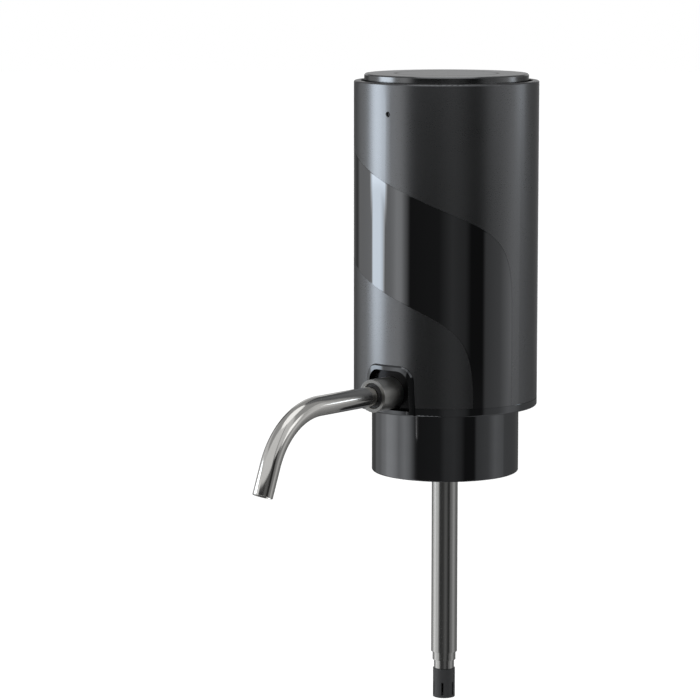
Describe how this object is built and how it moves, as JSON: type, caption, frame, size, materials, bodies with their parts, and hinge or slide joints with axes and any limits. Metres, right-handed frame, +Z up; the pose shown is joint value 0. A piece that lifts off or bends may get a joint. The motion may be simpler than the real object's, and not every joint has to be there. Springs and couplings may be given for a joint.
{
  "type": "electric pouring aerator",
  "caption": "Cylindrical battery-powered aerator that plugs into a neck, with a press button on top, a bent steel spout at the front and a telescopic intake tube.",
  "frame": {"origin": "on the body's axis, in the plane of the gasket's underside, where the plug's first land begins", "axes": "+Z up through the button, -Y forwards along the spout's socket, +X to the right of someone who looks along +Y"},
  "size_m": [0.056, 0.1152, 0.1927],
  "materials": {
    "outer_shell": "satin gunmetal paint, with a glossy band",
    "base_ring": "gloss",
    "spout_bezel": "gloss black",
    "collar": "gloss",
    "grip_sleeve": "matt",
    "seat_gasket": "matt",
    "neck_plug": "matt",
    "intake_tube_fixed": "polished",
    "flow_block": "satin",
    "flow_seals": "satin",
    "check_valve": "translucent silicone",
    "spout_sleeve": "brushed gunmetal",
    "chassis_frame": "moulded",
    "top_deck": "moulded",
    "case_screws": "plated",
    "pump_mount": "matt",
    "pump_head": "moulded",
    "valve_plate": "moulded",
    "pump_valves": "silicone",
    "diaphragm": "matt",
    "diaphragm_frame": "moulded",
    "pump_case": "moulded",
    "pump_screws": "plated",
    "motor_can": "zinc plated",
    "motor_bushes": "sintered bronze",
    "motor_magnets": "ferrite",
    "motor_end_cap": "moulded",
    "motor_brushes": "spring brass",
    "air_hose": "translucent silicone",
    "battery_cell": "shrink film",
    "battery_tabs": "nickel",
    "battery_pad": "foam",
    "main_board": "solder mask",
    "board_parts": "moulded",
    "charging_socket": "plated",
    "leads_red": "insulated wire",
    "leads_black": "insulated wire",
    "button_guide": "moulded",
    "button_spring": "spring wire",
    "switch_board": "solder mask",
    "tact_switch": "moulded",
    "light_pipe": "clear",
    "button_cap": "satin gunmetal",
    "button_inlay": "brushed",
    "button_carrier": "moulded",
    "switch_stem": "moulded",
    "intake_tube_second": "polished",
    "intake_tube_third": "polished",
    "intake_tube_last": "polished",
    "intake_filter": "matt",
    "spout_plug": "satin black",
    "plug_rings": "satin black",
    "spout_tube": "polished steel",
    "motor_shaft": "ground",
    "armature_core": "laminated steel",
    "armature_coils": "enamelled copper",
    "commutator": "copper",
    "crank_wheel": "acetal",
    "crank_pin": "ground",
    "wobble_plate": "acetal"
  },
  "bodies": {
    "housing": {"outer_shell": "outer_shell", "base_ring": "base_ring", "spout_bezel": "spout_bezel", "collar": "collar", "grip_sleeve": "grip_sleeve", "seat_gasket": "seat_gasket", "neck_plug": "neck_plug", "intake_tube_fixed": "intake_tube_fixed", "flow_block": "flow_block", "flow_seals": "flow_seals", "check_valve": "check_valve", "spout_sleeve": "spout_sleeve", "chassis_frame": "chassis_frame", "top_deck": "top_deck", "case_screws": "case_screws", "pump_mount": "pump_mount", "pump_head": "pump_head", "valve_plate": "valve_plate", "pump_valves": "pump_valves", "diaphragm": "diaphragm", "diaphragm_frame": "diaphragm_frame", "pump_case": "pump_case", "pump_screws": "pump_screws", "motor_can": "motor_can", "motor_bushes": "motor_bushes", "motor_magnets": "motor_magnets", "motor_end_cap": "motor_end_cap", "motor_brushes": "motor_brushes", "air_hose": "air_hose", "battery_cell": "battery_cell", "battery_tabs": "battery_tabs", "battery_pad": "battery_pad", "main_board": "main_board", "board_parts": "board_parts", "charging_socket": "charging_socket", "leads_red": "leads_red", "leads_black": "leads_black", "button_guide": "button_guide", "button_spring": "button_spring", "switch_board": "switch_board", "tact_switch": "tact_switch", "light_pipe": "light_pipe"},
    "button": {"button_cap": "button_cap", "button_inlay": "button_inlay", "button_carrier": "button_carrier"},
    "switch_stem": {"switch_stem": "switch_stem"},
    "second_section": {"intake_tube_second": "intake_tube_second"},
    "third_section": {"intake_tube_third": "intake_tube_third"},
    "last_section": {"intake_tube_last": "intake_tube_last", "intake_filter": "intake_filter"},
    "spout_plug": {"spout_plug": "spout_plug", "plug_rings": "plug_rings"},
    "spout": {"spout_tube": "spout_tube"},
    "rotor": {"motor_shaft": "motor_shaft", "armature_core": "armature_core", "armature_coils": "armature_coils", "commutator": "commutator", "crank_wheel": "crank_wheel", "crank_pin": "crank_pin"},
    "wobble": {"wobble_plate": "wobble_plate"}
  },
  "joints": [
    {"name": "button_press", "type": "slide", "parent": "housing", "child": "button", "axis": [0, 0, -1], "range_m": [0, 0.0008], "stiffness_N_per_m": 500, "springref_m": -0.002, "deforming": ["button_spring"]},
    {"name": "switch_press", "type": "slide", "parent": "housing", "child": "switch_stem", "axis": [0, 0, -1], "range_m": [0, 0.0008]},
    {"name": "draw_second_section", "type": "slide", "parent": "housing", "child": "second_section", "axis": [0, 0, -1], "range_m": [0, 0.06]},
    {"name": "draw_third_section", "type": "slide", "parent": "second_section", "child": "third_section", "axis": [0, 0, -1], "range_m": [0, 0.06]},
    {"name": "draw_last_section", "type": "slide", "parent": "third_section", "child": "last_section", "axis": [0, 0, -1], "range_m": [0, 0.06]},
    {"name": "spout_pull", "type": "slide", "parent": "housing", "child": "spout_plug", "axis": [0, -1, 0], "range_m": [0, 0.012]},
    {"name": "spout_swivel", "type": "hinge", "parent": "spout_plug", "child": "spout", "pos_m": [0, -0.0352, 0.0079], "axis": [0, -1, 0], "range_deg": [-180, 180]},
    {"name": "rotor_spin", "type": "hinge", "parent": "housing", "child": "rotor", "pos_m": [-0.0102, 0, 0.05], "axis": [0, 0, 1], "continuous": true},
    {"name": "wobble_turn", "type": "hinge", "parent": "rotor", "child": "wobble", "pos_m": [-0.0102, 0, 0.0319], "axis": [0.1736, 0, 0.9848], "continuous": true}
  ],
  "couplings": [
    {"joint": "switch_press", "follows": "button_press", "ratio": 1},
    {"joint": "wobble_turn", "follows": "rotor_spin", "ratio": -1}
  ]
}
